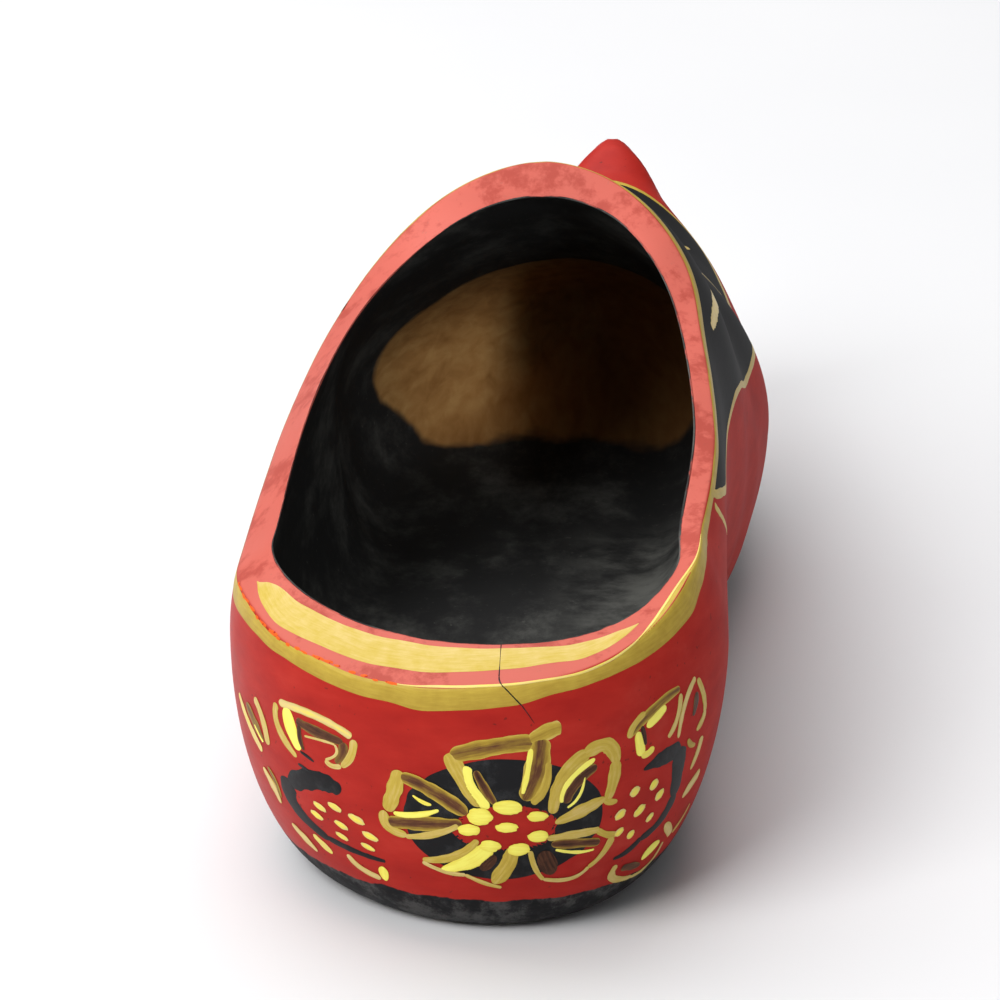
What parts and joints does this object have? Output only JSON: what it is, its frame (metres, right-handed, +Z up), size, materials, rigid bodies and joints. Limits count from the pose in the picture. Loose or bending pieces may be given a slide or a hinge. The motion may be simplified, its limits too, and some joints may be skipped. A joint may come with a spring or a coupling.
{
  "type": "dutch wooden clog",
  "caption": "Left wooden clog carved from a solid block, hollow and open at a low collar, with an arched sole, a full forefoot and a small upturned toe tip.",
  "frame": {"origin": "on the floor, under the middle of the clog's box", "axes": "+Y from the heel to the toe, +X to the inner side that faces the other foot, +Z up from the floor"},
  "size_m": [0.0968, 0.266, 0.1004],
  "materials": {
    "painted_wood": "satin red paint over poplar wood"
  },
  "bodies": {
    "root": {"clog_body": "painted_wood"}
  },
  "joints": []
}
